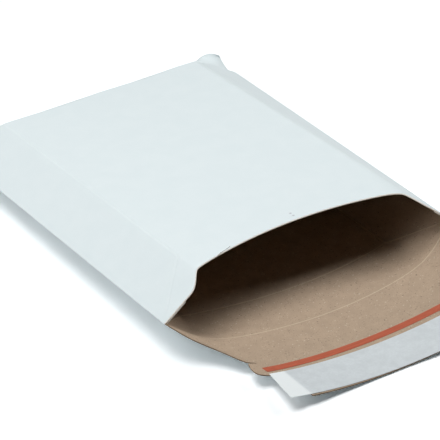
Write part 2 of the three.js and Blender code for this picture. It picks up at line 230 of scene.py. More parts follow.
# Columns of the mesh beside a long score in millimetres and on the panel in metres, and
# the widest steps across the board and across a strip.
SCORE_STATIONS = (-2.4, -1.4, -0.9, -0.45, 0, 0.45, 0.9, 1.4, 2.4)
PANEL_STATIONS = (0, 30 * MM, 60 * MM)
STATION_STEP = 2.2 * MM
STRIP_STEP = 1.5 * MM

# Steps in which the runs of the sloping board are added up.
ACROSS_STEPS = 20
ALONG_STEPS = 24

# How much of the right end's rounding the mouth's left end has, and how sharply the
# panels' bend to the back fold gives way to the glued edges.
LEFT_ROUNDING = 0.3
SEAM_POWER = 8

# How far a pressed score stands out on the inner face, against its depth on the outer.
INNER_PRESS = 0.8

# How far up and down the cutter of the tear notch reaches.
NOTCH_REACH = 30 * MM

# Two small scuffs on the upper panel, in metres in the frame, and their radii.
SCUFFS = ((0.0038, -0.0692, 0.0533), (0.0036, -0.0731, 0.0537))
SCUFF_OUTSIDE, SCUFF_INSIDE = 1.3 * MM, 0.4 * MM

# The torn fibres of the nick and of the flap's end, as inputs of their node tree, and
# their places: over the mouth edge, and behind the flap's end within the board.
NICK_FIBRES = {
    "Spacing": 0.45 * MM, "Fibre length": 1.3 * MM, "Fibre radius": 0.2 * MM, "Jitter": 0.35,
}
TEAR_FIBRES = {
    "Spacing": 0.22 * MM, "Fibre length": 1.5 * MM, "Fibre radius": 0.34 * MM, "Jitter": 1.3,
}
FIBRE_TIP = 0.02 * MM
NICK_LIFT = 0.05 * MM
TEAR_SETBACK = 0.1 * MM
TEAR_SINK = 0.55

# Softboxes: name, place, target, size and watts. The world adds little light. The floor
# is lifted for the camera alone, and turns white for it over a distance from the middle.
LIGHTS = (
    ("key_light", (-0.38, 0.14, 1.45), (0, -0.06, 0), (0.9, 0.9), 16.4),
    ("left_light", (-1.25, 0.05, 0.80), (0, 0.05, 0), (0.7, 1.2), 5.5),
    ("right_light", (1.15, -0.05, 0.90), (0, 0, 0), (0.7, 0.8), 8.6),
)
WORLD_LIGHT = {"Color": (0.97, 0.985, 1, 1), "Strength": 0.01}
WHITE_LIGHT = {"Color": (1, 1, 1, 1), "Strength": 1.0}
FLOOR_LIFT = (0.23, 0.25, 0.255, 1)
FLOOR_REACH = 6.0
WHITE_FROM, WHITE_AT = 0.45, 1.1

# The camera: azimuth and elevation in degrees, distance and target in metres, and the
# focal length and shift in pixels of a square picture.
CAMERA_ANGLES = (-33.01, 30.70)
CAMERA_DISTANCE = 1.576
CAMERA_TARGET = (0, 0.120, 0.020)
PICTURE_SIDE = 440.0
FOCAL_LENGTH = 2187.0
CAMERA_SHIFT = (2.648, -17.538)
SENSOR = 36.0


def smoothstep(x, low, high):
    t = np.clip((x - low) / (high - low), 0.0, 1.0)
    return t * t * (3 - 2 * t)


def mix(a, b, t):
    return a + (b - a) * t


# The blank's own frame: u across from the middle, v from the mouth corners towards the
# back fold, negative on the flap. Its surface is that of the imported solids, apart from a
# few millimetres at the flap's end and outline and at the ends of the back fold.

class Blank:
    """The folded blank: places on the flat board to points of the opened envelope."""

    def __init__(self, sizes):
        self.s = sizes
        self.half = sizes.blank_width / 2
        self.score = self.half - sizes.side_inset
        self.turn = math.pi * sizes.fold_radius
        self.total = 2 * sizes.panel_length + self.turn
        self.glue_edge = self.half - sizes.glue_flap

    def half_depth(self, u, v):
        """Height of the middle plane of the pocket."""
        s = self.s
        level = mix(s.mouth_half_depth, s.back_half_depth, np.clip(v / s.panel_length, 0, 1))
        return level + s.fullness * (u / self.half)

    def fold_half_height(self, u):
        """Half the height of the back fold, which opens up near its ends."""
        s = self.s
        away = (np.abs(u) - s.hump_place) / s.hump_spread
        return s.fold_radius + s.hump * np.exp(-away * away)

    def panel_half_width(self, v):
        """Half the panels' width, which is cut in at the back fold."""
        s = self.s
        return self.half - s.fold_inset * smoothstep(v, s.bend_start, s.panel_length)

    def beyond_score(self, u, rounding):
        """Distance beyond the long score, with the bend softened by a rounding."""
        beyond = np.abs(u) - self.score
        soft = np.maximum(rounding, 1e-7)
        ratio = np.clip(beyond / soft, -40, 40)
        return np.where(np.abs(beyond) >= 30 * soft, np.maximum(0, beyond),
                        soft * np.log1p(np.exp(ratio)))

    def panel_offset(self, u, v, rounding=0.0):
        """Distance of a panel's outer face from the middle plane of the pocket."""
        s = self.s
        edge = self.panel_half_width(v)
        share = np.minimum(1, np.abs(u) / edge)
        facet = 1 - self.beyond_score(u, rounding) / (edge - self.score)
        flat_start = s.bend_start + s.bend_slant * (u / self.half)
        start = mix(flat_start, s.seam_end, share ** SEAM_POWER)
        bend = np.clip((v - start) / (s.panel_length - start), 0, 1)
        facet = np.where(np.abs(u) >= edge - 1e-9, 0, np.maximum(0, facet))
        return mix(self.half_depth(u, v) * facet, self.fold_half_height(u), bend)

    def corner_line(self, u, reach):
        """Score from a mouth corner to the end of the long score, then a bend across."""
        s = self.s
        facet = np.clip((self.half - np.abs(u)) / (self.half - self.score), 0, 1)
        middle = mix(reach, s.corner_reach, (u / self.score) ** 2)
        return np.where(facet < 1, s.corner_reach * facet, middle)

    def upper_bend(self, u):
        return self.corner_line(u, self.s.upper_reach)

    def lower_bend(self, u):
        return self.corner_line(u, self.s.lower_reach)

    def flap_fold(self, u):
        """The curved score at which the flap starts."""
        return -self.s.flap_sag * (1 - (u / self.half) ** 2)

    def mouth_edge(self, u):
        """The cut edge of the mouth, with its recess and its two S curves."""
        s = self.s
        arc = s.recess - s.recess_fall * ((u - s.recess_offset) / s.recess_width) ** 2
        return arc * (1 - smoothstep(np.abs(u), s.curve_end, s.curve_start))

    def flap_half_width(self, v):
        """Half the flap's width at a place, from its cut outline."""
        places, widths = np.array(FLAP_OUTLINE).T * MM
        return np.interp(-v, places, widths)

    def flap_height(self, u, v, rounding=0.0):
        """Height of the flap: its corners come down and its sides curl up."""
        s = self.s
        low = np.minimum(v, 0)
        facet = self.beyond_score(u, rounding) / s.side_inset
        curl = mix(s.trough, s.end_trough, smoothstep(-low, s.curl_start, s.flap))
        trough = curl * (1 - np.exp(low / s.trough_length)) * (u / self.half) ** 2
        rise = s.end_rise * (low / s.flap) ** 2
        return self.half_depth(u, 0) * facet * np.exp(low / s.lift_length) + trough + rise

    def run(self, height, begin, end, steps):
        """How far board reaches from one place to another over a height: it doesn't
        stretch, so slopes shorten its run."""
        step = (end - begin) / steps
        safe = np.where(np.abs(step) < 1e-9, 1.0, step)
        reached = np.zeros_like(step)
        last = height(begin)
        for k in range(1, steps + 1):
            h = height(begin + k * step)
            slope = (h - last) / safe
            reached += step * np.sqrt(np.maximum(0, 1 - slope * slope))
            last = h
        return reached

    def across(self, u, v):
        """Where a point lies across, in two runs that meet at the long score."""
        def height(a):
            return np.where(v < 0, self.flap_height(a, v), self.panel_offset(a, v))

        flat = np.sign(u) * np.minimum(np.abs(u), self.score)
        return (self.run(height, np.zeros_like(u), flat, ACROSS_STEPS)
                + self.run(height, flat, u, ACROSS_STEPS))

    def along(self, u, v):
        """Where a point lies along: the panels slope where they bend down to the fold."""
        start = self.s.bend_start - self.s.bend_slant
        sloping = self.run(lambda place: self.panel_offset(u, place), start,
                           np.maximum(v, start), ALONG_STEPS)
        return np.minimum(v, start) + sloping

    def point(self, u, t):
        """A point of the outer face. t runs from the mouth over the upper panel, round
        the back fold, back over the lower panel and out along the flap."""
        s = self.s
        v_lower = self.total - t
        on_upper = t <= s.panel_length
        on_fold = (t > s.panel_length) & (t < s.panel_length + self.turn)
        v = np.where(on_upper, t, np.where(on_fold, s.panel_length, v_lower))
        x = self.across(u, v)
        y = self.along(u, np.maximum(v, 0)) + np.minimum(v, 0)
        middle = self.half_depth(u, v)
        round_end = s.mouth_rounding * np.exp(-np.maximum(v, 0) / s.mouth_rounding_length)
        round_end = np.where(u > 0, round_end, LEFT_ROUNDING * round_end)
        bend = s.score_bend + np.where(on_upper, round_end, 0)
        offset = self.panel_offset(u, np.maximum(v, 0), bend)
        arch = s.arch * np.maximum(0, 1 - (u / self.score) ** 2)
        upper = middle + offset + arch * np.exp(-np.maximum(t, 0) / s.arch_length)
        angle = math.pi * (0.5 - (t - s.panel_length) / self.turn)
        fold = middle + self.fold_half_height(u) * np.sin(angle)
        before = self.lower_bend(u) - v
        soft = s.rounding * (1 - np.exp(-np.maximum(before, 0) / s.rounding_reach))
        soft = np.maximum(soft, s.score_bend)
        front = middle * self.beyond_score(u, soft) / s.side_inset
        lower = np.where(before <= 0, middle - offset,
                         np.where(v < 0, self.flap_height(u, v, soft), front))
        z = np.where(on_upper, upper, np.where(on_fold, fold, lower))
        y = y + np.where(on_fold, s.fold_radius * np.cos(angle), 0)
        return np.stack([x, y, z], axis=-1)

    def normal(self, u, t):
        """Outward normal of the outer face."""
        reach = 0.4 * MM
        left, right = np.maximum(u - reach, -self.half), np.minimum(u + reach, self.half)
        across = self.point(right, t) - self.point(left, t)
        along = self.point(u, t + reach) - self.point(u, t - reach)
        n = np.cross(across, along)
        return n / np.linalg.norm(n, axis=-1, keepdims=True)


def spread_out(marks, step):
    """The marks with even steps filled in between them."""
    places = []
    for a, b in zip(marks, marks[1:]):
        count = max(1, math.ceil((b - a) / step))
        places.extend(a + (b - a) * k / count for k in range(count))
    return np.array([*places, marks[-1]])


def board_stations(blank):
    """Places across the blank, close together at the scores, the S and the glue flap."""
    s = blank.s
    score_marks = [blank.score + d * MM for d in SCORE_STATIONS]
    marks = [*PANEL_STATIONS, s.curve_end - 2 * MM, *score_marks, s.curve_start,
             blank.glue_edge - 0.3 * MM, blank.glue_edge + 0.3 * MM, blank.half]
    right = spread_out(sorted(marks), STATION_STEP)
    return np.concatenate([-right[:0:-1], right])


def board_rows(blank, stations):
    """Places of the mesh's rows: arrays of u and t at each station. Rows lie close together
    at the scores, and the flap's follow its cut outline."""
    s = blank.s
    rows = []

    def lower(v):
        return blank.total - v

    def fitted(width, kept):
        beyond = np.abs(stations) - kept
        scale = (width - kept) / (blank.half - kept)
        return np.where(beyond <= 0, stations, np.sign(stations) * (kept + beyond * scale))

    def add(place, width=None, kept=None):
        u = stations if width is None else fitted(width, kept)
        rows.append((u, place(stations) * np.ones_like(stations)))

    def bowed(edge, centre):
        return lambda u: mix(centre, edge, (u / blank.half) ** 2)

    def around(line):
        def spread(u, k):
            narrowing = np.minimum(1, (blank.half - np.abs(u)) / SCORE_NARROWING)
            return line(u) + k * s.score_half * narrowing
        return [lambda u, k=k: spread(u, k) for k in SCORE_ROWS]

    upper_key = [blank.mouth_edge, lambda u: blank.mouth_edge(u) + s.rim,
                 lambda u: (blank.mouth_edge(u) + blank.upper_bend(u)) / 2]
    upper_key += around(blank.upper_bend)
    upper_key += [bowed(*places) for places in UPPER_ROWS]
    for place in upper_key:
        add(place)
    back = [*BACK_ROWS, s.seam_end, *FOLD_END_ROWS, s.panel_length]
    for v in back:
        add(lambda u, v=v: v, blank.panel_half_width(v), blank.score)
    for k in range(1, FOLD_TURNS):
        t = s.panel_length + blank.turn * k / FOLD_TURNS
        add(lambda u, t=t: t, blank.panel_half_width(s.panel_length), blank.score)
    for v in reversed(back):
        add(lambda u, v=v: lower(v), blank.panel_half_width(v), blank.score)
    lower_key = [bowed(*places) for places in LOWER_ROWS]
    lower_key += reversed(around(blank.lower_bend))
    lower_key += [lambda u: (blank.lower_bend(u) + blank.flap_fold(u)) / 2]
    lower_key += reversed(around(blank.flap_fold))
    for place in lower_key:
        add(lambda u, place=place: lower(place(u)))
    for outline_place, _ in FLAP_OUTLINE[1:]:
        edge = min(outline_place * MM, s.flap)
        centre = max(edge, mix(FLAP_MIDDLE, s.lip_start, edge / s.lip_start))
        place = bowed(-edge, -centre)
        add(lambda u, place=place: lower(place(u)), float(blank.flap_half_width(-edge)), 0.0)
    return fill_rows(rows, s.mesh_step)


def fill_rows(rows, step):
    """Adds rows in between, so that none are further apart than a step."""
    filled = []
    for (ua, ta), (ub, tb) in zip(rows, rows[1:]):
        count = max(1, math.ceil(float(np.max(np.abs(tb - ta))) / step))
        filled.extend((mix(ua, ub, k / count), mix(ta, tb, k / count)) for k in range(count))
    filled.append(rows[-1])
    return np.array([u for u, _ in filled]), np.array([t for _, t in filled])


def score_press(blank, u, t):
    """How far the board is pressed in at each place, with a raised bead on both sides,
    and how near each place is to the line of a score. Scores fade out near the cut edges,
    and the bend across the upper panel is only faint."""
    s = blank.s
    edge_fade, start_fade, end_fade, faint = 0.012, 0.002, 0.01, 0.12
    upper = t <= s.panel_length
    v = np.where(upper, t, blank.total - t)
    a = np.abs(u)
    inside = np.clip((blank.half - a) / edge_fade, 0, 1)
    bend = np.where(upper, blank.upper_bend(u), blank.lower_bend(u))
    on_long = smoothstep(v, s.corner_reach - start_fade, s.corner_reach + start_fade)
    on_long = on_long * (1 - smoothstep(v, s.bend_start - end_fade, s.bend_start))
    slope = np.where(a > blank.score, math.hypot(1, s.corner_reach / s.side_inset), 1.0)
    across = np.where(upper & (a < blank.score), faint, 1.0)
    lines = (
        (a - blank.score, on_long),
        ((v - bend) / slope, inside * across),
        (v - blank.flap_fold(u), np.where(upper, 0, inside)),
    )
    # A score's groove, its beads and its line, in half widths of the score.
    groove, bead_height, bead_place, bead, mark = 0.75, 0.45, 1.5, 0.6, 0.6
    press = np.zeros_like(u)
    line = np.zeros_like(u)
    for distance, weight in lines:
        d = distance / s.score_half
        beads = bead_height * np.exp(-((np.abs(d) - bead_place) / bead) ** 2)
        press = press + weight * (np.exp(-(d / groove) ** 2) - beads)
        line = np.maximum(line, weight * np.exp(-(d / mark) ** 2))
    return press * s.score_depth, line


def make_mesh(name, points, faces, kinds=None, **marks):
    """A mesh with its doubles merged. Kinds are its faces' materials, and marks are named
    values of its points."""
    mesh = bpy.data.meshes.new(name)
    mesh.from_pydata([tuple(p) for p in points], [], faces)
    for key, values in marks.items():
        mesh.attributes.new(key, "FLOAT", "POINT").data.foreach_set("value", values)
    if kinds:
        mesh.polygons.foreach_set("material_index", kinds)
    bm = bmesh.new()
    bm.from_mesh(mesh)
    bmesh.ops.remove_doubles(bm, verts=bm.verts, dist=1e-6)
    bm.to_mesh(mesh)
    bm.free()
    return mesh


def add_piece(name, mesh, materials, node):
    """Puts a finished piece in the scene in place of its node of the solids."""
    piece = bpy.data.objects.new(name, mesh)
    bpy.context.scene.collection.objects.link(piece)
    for material in materials:
        mesh.materials.append(material)
    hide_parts(node)
    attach(piece, BODY)
    return piece


def shade_smooth(mesh, degrees=28):
    """Smooth shading, with edges sharp past an angle."""
    mesh.polygons.foreach_set("use_smooth", [True] * len(mesh.polygons))
    mesh.set_sharp_from_angle(angle=math.radians(degrees))
    mesh.update()


def row_shift(blank):
    """From the blank's own frame to the row's, found by the back and sides of the board."""
    low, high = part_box("board_envelope")
    s = blank.s
    width = float(blank.panel_half_width(s.panel_length))
    u = np.linspace(-width, width, 400)
    back = blank.point(u, np.full_like(u, s.panel_length + blank.turn / 2))
    v = np.linspace(0.0, s.seam_end, 60)
    sides = [blank.across(np.full_like(v, side * blank.half), v) for side in (-1, 1)]
    middle = (float(np.min(sides[0])) + float(np.max(sides[1]))) / 2
    behind = float(np.max(back[:, 1]))
    return np.array([(low[0] + high[0]) / 2 - middle, high[1] - behind, 0.0])


# Materials

def node_in(tree, kind, links=None, **settings):
    """Adds a node with its settings and links. A link is a socket; other values are set."""
    node = tree.nodes.new(kind)
    for key, value in settings.items():
        setattr(node, key, value)
    for key, value in (links or {}).items():
        socket = node.inputs[key]
        if isinstance(value, bpy.types.NodeSocket):
            tree.links.new(value, socket)
        else:
            socket.default_value = value
    return node


def start_material(name):
    """A new material, its empty tree and the place of a point on its piece."""
    material = bpy.data.materials.new(name)
    material.use_nodes = True
    tree = material.node_tree
    tree.nodes.clear()
    return material, tree, node_in(tree, "ShaderNodeTexCoord").outputs["Object"]


def dimmed(tone, *shares):
    """A colour with its light cut to a share of it, or its red, green and blue to shares."""
    shares = shares if len(shares) == 3 else shares * 3
    return (*(value * share for value, share in zip(tone, shares)), 1.0)


def tint(tree, base, other, pattern, low=0.0, high=1.0, share=1.0):
    """Turns a colour to a share of another where a pattern rises from low to high."""
    part = node_in(tree, "ShaderNodeMapRange", {
        "Value": pattern, "From Min": low, "From Max": high, "To Max": share,
    })
    mixed = node_in(tree, "ShaderNodeMix", {0: part.outputs[0], 6: base, 7: other},
                    data_type="RGBA")
    return mixed.outputs[2]


def layered(tree, place, base, layers):
    """Layers cloudy patches on a colour. A layer gives its patches' size in millimetres,
    detail and roughness, the colour they turn to, the pattern's levels between which they
    do, and how far. Returns the colour and the patterns."""
    patterns = []
    for size, detail, roughness, other, low, high, share in layers:
        patches = node_in(tree, "ShaderNodeTexNoise", {
            "Vector": place, "Scale": 1.0 / (size * MM), "Detail": detail,
            "Roughness": roughness,
        })
        patterns.append(patches.outputs["Fac"])
        base = tint(tree, base, other, patterns[-1], low, high, share)
    return base, patterns


def finish_material(material, tone, roughness, ior, relief=None):
    """Ends a material with its colour, roughness and IOR, and the relief of a pattern
    with its strength and its depth in millimetres."""
    tree = material.node_tree
    surface = {"Base Color": tone, "Roughness": roughness, "IOR": ior}
    if relief:
        pattern, strength, depth = relief
        bump = node_in(tree, "ShaderNodeBump", {
            "Height": pattern, "Strength": strength, "Distance": depth * MM,
        })
        surface["Normal"] = bump.outputs[0]
    shader = node_in(tree, "ShaderNodeBsdfPrincipled", surface)
    node_in(tree, "ShaderNodeOutputMaterial", {"Surface": shader.outputs[0]})
    return material


def coated_board(colours):
    """White clay-coated solid board: rolled smooth and matt, with large cooler patches of
    painted shade for the board's gentle undulations, the faint cloudiness of the fibres
    under the coating, and rubbed grey at two small scuffs."""
    material, tree, place = start_material("clay_coated_board")
    base = tuple(colours.coating)
    tone, (_, grain) = layered(tree, place, base, (
        # Large patches a little darker and cooler: painted shade for the board's gentle
        # undulations.
        (14.0, 3.0, 0.5, dimmed(base, 0.975, 0.982, 0.984), 0.35, 0.65, 1.0),
        (1.6, 2.0, 0.6, dimmed(base, 0.975), 0.3, 0.7, 0.5),
    ))
    for spot in SCUFFS:
        away = node_in(tree, "ShaderNodeVectorMath", {0: place, 1: spot}, operation="DISTANCE")
        tone = tint(tree, tone, tuple(colours.scuff), away.outputs["Value"],
                    SCUFF_OUTSIDE, SCUFF_INSIDE, 0.7)
    return finish_material(material, tone, 0.62, 1.5, (grain, 0.12, 0.12))


def raw_board(colours):
    """Uncoated recycled board: grey-brown, felted, with dark and pale specks of old print
    and fibre, and paler along the scores: a painted highlight where light catches the
    creases. The specks are drawn at about 0.7 mm so that they show."""
    material, tree, place = start_material("recycled_board_face")
    base = tuple(colours.inside)
    tone, (_, felt, _, _) = layered(tree, place, base, (
        (9.0, 4.0, 0.5, dimmed(base, 0.86), 0.3, 0.7, 1.0),
        (0.9, 3.0, 0.7, dimmed(base, 0.8), 0.35, 0.65, 0.6),
        (1.1, 1.0, 0.5, dimmed(base, 0.42), 0.66, 0.74, 1.0),
        (1.5, 1.0, 0.5, tuple(colours.fleck), 0.68, 0.76, 0.6),
    ))
    # The scores are tinted paler: a painted highlight along the creases.
    line = node_in(tree, "ShaderNodeAttribute", attribute_name="score")
    tone = tint(tree, tone, tuple(colours.score_highlight), line.outputs["Fac"], 0.35, 0.95, 0.5)
    return finish_material(material, tone, 0.85, 1.45, (felt, 0.3, 0.2))


def cut_edge(name, colour_value):
    """Die-cut edge of solid board: a matt fibrous face. The mouth edge is near white, a
    painted highlight that keeps it bright where little light reaches it, and the other edges
    show the grey-brown core."""
    material, tree, place = start_material(name)
    base = tuple(colour_value)
    tone, _ = layered(tree, place, base, (
        (0.8, 3.0, 0.5, dimmed(base, 0.8), 0.35, 0.7, 1.0),
    ))
    return finish_material(material, tone, 0.9, 1.45)


def tape_film(colours):
    """Oriented polypropylene film, dyed red: smooth, thin and a little glossy, with fine
    lines along it from the roll."""
    material, tree, place = start_material("red_polypropylene_film")
    stretched = node_in(tree, "ShaderNodeMapping",
                        {"Vector": place, "Scale": (0.05, 1.0, 1.0)})
    base = tuple(colours.tape)
    tone, _ = layered(tree, stretched.outputs[0], base, (
        (0.9, 2.0, 0.5, dimmed(base, 0.82), 0.3, 0.7, 1.0),
    ))
    return finish_material(material, tone, 0.6, 1.35)


def hot_melt(colours):
    """Pressure-sensitive hot-melt adhesive: a pale, slightly clear band with a wavy coat."""
    material, tree, place = start_material("hot_melt_adhesive")
    base = tuple(colours.adhesive)
    tone, (coat,) = layered(tree, place, base, (
        (3.0, 2.0, 0.5, dimmed(base, 0.85), 0.0, 1.0, 1.0),
    ))
    return finish_material(material, tone, 0.3, 1.48, (coat, 0.4, 0.2))


def liner_paper(colours):
    """Siliconed glassine release paper: thin and mottled, greyer where it lies on the
    adhesive and whiter where its ends stand free of it."""
    material, tree, place = start_material("siliconed_release_paper")
    base = tuple(colours.liner)
    tone, (mottle, _) = layered(tree, place, base, (
        (6.0, 4.0, 0.6, dimmed(base, 0.9), 0.35, 0.65, 1.0),
        (1.4, 2.0, 0.5, dimmed(base, 0.86), 0.35, 0.65, 0.4),
    ))
    bonded = node_in(tree, "ShaderNodeAttribute", attribute_name="bonded")
    tone = tint(tree, tuple(colours.overhang), tone, bonded.outputs["Fac"])
    return finish_material(material, tone, 0.5, 1.45, (mottle, 0.35, 0.4))


# Pieces

def shell_faces(rows, columns, sealed):
    """Faces of the closed shell between two grids of points, first the outer and then the
    inner, and their kinds: 0 outer, 1 inner, 2 the first rows' edge and 3 the other edges.
    Where two rows after each other are sealed, the grids meet at the sides."""
    faces, kinds = [], []
    last = columns - 1

    def add(kind, *corners):
        faces.append(corners)
        kinds.append(kind)

    def out(r, c):
        return r * columns + c

    def inn(r, c):
        return rows * columns + r * columns + c

    for r in range(rows - 1):
        for c in range(last):
            add(0 if r else 2, out(r, c), out(r, c + 1), out(r + 1, c + 1), out(r + 1, c))
            add(1, inn(r + 1, c), inn(r + 1, c + 1), inn(r, c + 1), inn(r, c))
        if not (sealed[r] and sealed[r + 1]):
            add(3, out(r, 0), out(r + 1, 0), inn(r + 1, 0), inn(r, 0))
            add(3, out(r, last), inn(r, last), inn(r + 1, last), out(r + 1, last))
    end = rows - 1
    for c in range(last):
        add(2, out(0, c), inn(0, c), inn(0, c + 1), out(0, c + 1))
        add(3, out(end, c), out(end, c + 1), inn(end, c + 1), inn(end, c))
    return faces, kinds


def board_mesh(blank, shift):
    """The folded blank as one closed shell: coated face, raw face and cut edges."""
    s = blank.s
    u, t = board_rows(blank, board_stations(blank))
    outer, normal = blank.point(u, t), blank.normal(u, t)
    press, line = score_press(blank, u, t)
    on_edge = np.zeros_like(u, dtype=bool)
    on_edge[:, [0, -1]] = True
    v = np.where(t > s.panel_length, blank.total - t, t)
    folded = (t > s.panel_length) & (t < s.panel_length + blank.turn)
    seam = on_edge & ~folded & (v >= -1e-9) & (v <= s.seam_end + 1e-9)
    doubled = (t <= s.seam_end) & (np.abs(u) > blank.glue_edge)
    wall = np.where(doubled, 2 * s.thickness, s.thickness)
    raised = outer - normal * press[..., None]
    inner = outer - normal * (wall + INNER_PRESS * press)[..., None]
    inward = np.stack([np.sign(u) * s.edge_wall, 0 * u, 0 * u], axis=-1)
    raised[0] = outer[0] - normal[0] * s.rim
    raised = np.where(seam[..., None], outer, raised)
    inner = np.where(seam[..., None], outer - inward, inner)
    # The beads beside the lower scores are flattened by the floor.
    raised[..., 2] = np.maximum(raised[..., 2], 0.0)
    points = np.concatenate([raised.reshape(-1, 3), inner.reshape(-1, 3)]) + shift
    faces, kinds = shell_faces(*u.shape, seam[:, 0])
    return make_mesh("board", points, faces, kinds, score=np.tile(line.reshape(-1), 2))


def notch_cutter(blank, strips, shift):
    """An upright V prism where the tear notch is cut into the flap's left edge."""
    v = -strips.notch_place
    u = np.array([-float(blank.flap_half_width(v))])
    edge = blank.point(u, np.array([blank.total - v]))[0] + shift
    depth, half = strips.notch_depth, strips.notch_half
    outline = [(-depth, -2 * half), (depth, 0.0), (-depth, 2 * half)]
    c, k = math.cos(strips.notch_angle), math.sin(strips.notch_angle)
    points = [(edge[0] + c * x - k * y, edge[1] + k * x + c * y, edge[2] + z)
              for z in (-NOTCH_REACH, NOTCH_REACH) for x, y in outline]
    faces = [(2, 1, 0), (3, 4, 5), (0, 1, 4, 3), (1, 2, 5, 4), (2, 0, 3, 5)]
    mesh = bpy.data.meshes.new("notch")
    mesh.from_pydata(points, [], faces)
    cutter = bpy.data.objects.new("notch", mesh)
    bpy.context.scene.collection.objects.link(cutter)
    return cutter


def keep_result(piece):
    """Keeps what a piece's modifiers make as its plain mesh."""
    evaluated = piece.evaluated_get(bpy.context.evaluated_depsgraph_get())
    old = piece.data
    piece.data = bpy.data.meshes.new_from_object(evaluated)
    piece.modifiers.clear()
    bpy.data.meshes.remove(old)


def cut_with(piece, cutter):
    """Cuts a piece's mesh with another's, which is used up."""
    modifier = piece.modifiers.new("cut", "BOOLEAN")
    modifier.operation = "DIFFERENCE"
    modifier.solver = "EXACT"
    modifier.object = cutter
    keep_result(piece)
    bpy.data.objects.remove(cutter)


def fibre_tree():
    """Geometry Nodes that set tapered fibres along a guide line."""
    tree = bpy.data.node_groups.new("torn_fibres", "GeometryNodeTree")
    sockets = {}
    for name, kind in (("Guide", "Geometry"), ("Spacing", "Float"), ("Fibre length", "Float"),
                       ("Fibre radius", "Float"), ("Jitter", "Float"), ("Seed", "Int"),
                       ("Material", "Material")):
        sockets[name] = tree.interface.new_socket(
            name=name, in_out="INPUT", socket_type="NodeSocket" + kind)
    tree.interface.new_socket(name="Fibres", in_out="OUTPUT", socket_type="NodeSocketGeometry")
    given = node_in(tree, "NodeGroupInput").outputs
    curve = node_in(tree, "GeometryNodeMeshToCurve", {"Mesh": given["Guide"]})
    points = node_in(tree, "GeometryNodeCurveToPoints",
                     {"Curve": curve.outputs[0], "Length": given["Spacing"]}, mode="LENGTH")
    turn = node_in(tree, "FunctionNodeRandomValue",
                   {0: (-1, -1, -1), 1: (1, 1, 1), "Seed": given["Seed"]},
                   data_type="FLOAT_VECTOR")
    jitter = node_in(tree, "ShaderNodeVectorMath",
                     {0: turn.outputs[0], "Scale": given["Jitter"]}, operation="SCALE")
    rotation = node_in(tree, "FunctionNodeRotateRotation", {
        "Rotation": points.outputs["Rotation"], "Rotate By": jitter.outputs[0],
    })
    scale = node_in(tree, "FunctionNodeRandomValue",
                    {0: (0.5, 0.35, 0.5), 1: (1.2, 1.0, 1.2), "Seed": given["Seed"]},
                    data_type="FLOAT_VECTOR")
    cone = node_in(tree, "GeometryNodeMeshCone", {
        "Vertices": 5, "Radius Bottom": given["Fibre radius"], "Radius Top": FIBRE_TIP,
        "Depth": given["Fibre length"],
    })
    placed = node_in(tree, "GeometryNodeInstanceOnPoints", {
        "Points": points.outputs["Points"], "Instance": cone.outputs["Mesh"],
        "Rotation": rotation.outputs[0], "Scale": scale.outputs[0],
    })
    real = node_in(tree, "GeometryNodeRealizeInstances", {0: placed.outputs[0]})
    dressed = node_in(tree, "GeometryNodeSetMaterial",
                      {"Geometry": real.outputs[0], "Material": given["Material"]})
    node_in(tree, "NodeGroupOutput", {0: dressed.outputs[0]})
    return tree, {name: socket.identifier for name, socket in sockets.items()}


def grow_fibres(name, guide, tree, keys, inputs):
    """A piece of torn fibres along the guide's points, as a plain mesh."""
    mesh = bpy.data.meshes.new(name)
    edges = [(k, k + 1) for k in range(len(guide) - 1)]
    mesh.from_pydata([tuple(p) for p in guide], edges, [])
    piece = bpy.data.objects.new(name, mesh)
    bpy.context.scene.collection.objects.link(piece)
    modifier = piece.modifiers.new("fibres", "NODES")
    modifier.node_group = tree
    for key, value in inputs.items():
        modifier[keys[key]] = value
    keep_result(piece)
    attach(piece, BODY)


class ENVELOPE_OT_fray_edges(Operator):
    """Fray the nick in the mouth edge and the torn end of the flap"""

    bl_idname = "envelope.fray_edges"
    bl_label = "Fray edges"

    def execute(self, context):
        scene = context.scene
        blank, tears = Blank(scene.envelope_board), scene.envelope_tears
        shift = row_shift(blank)
        # The torn fibres are darker than the core: the torn core, and for the nick painted
        # shade under its sliver.
        core = cut_edge("torn_core_and_painted_shade", scene.envelope_colours.torn_core_and_shade)
        tree, keys = fibre_tree()
        u = np.linspace(tears.nick_start, tears.nick_end, 14)
        t = blank.mouth_edge(u) + tears.nick_rise * np.linspace(0, 1, 14)
        guide = blank.point(u, t) + blank.normal(u, t) * NICK_LIFT + shift
        grow_fibres("mouth_nick", guide, tree, keys,
                    {**NICK_FIBRES, "Seed": tears.seed, "Material": core})
        u = np.linspace(tears.tear_start, tears.tear_start + tears.tear_width, 12)
        t = np.full_like(u, blank.total + blank.s.flap - TEAR_SETBACK)
        guide = blank.point(u, t) - blank.normal(u, t) * TEAR_SINK * blank.s.thickness + shift
        grow_fibres("torn_flap_end", guide, tree, keys,
                    {**TEAR_FIBRES, "Seed": tears.seed + 1, "Material": core})
        return {"FINISHED"}


class ENVELOPE_OT_fold_board(Operator):
    """Fold the blank into the open envelope"""

    bl_idname = "envelope.fold_board"
    bl_label = "Fold board"

    def execute(self, context):
        scene = context.scene
        blank = Blank(scene.envelope_board)
        shift = row_shift(blank)
        colours = scene.envelope_colours
        # The mouth edge's near white is a painted highlight.
        rim = cut_edge("mouth_edge_painted_highlight", colours.edge)
        core = cut_edge("die_cut_board_core", colours.core)
        cutter = notch_cutter(blank, scene.envelope_strips, shift)
        cutter.data.materials.append(core)
        board = add_piece("folded_board", board_mesh(blank, shift),
                          [coated_board(colours), raw_board(colours), rim, core],
                          "board_envelope")
        cut_with(board, cutter)
        shade_smooth(board.data)
        return {"FINISHED"}


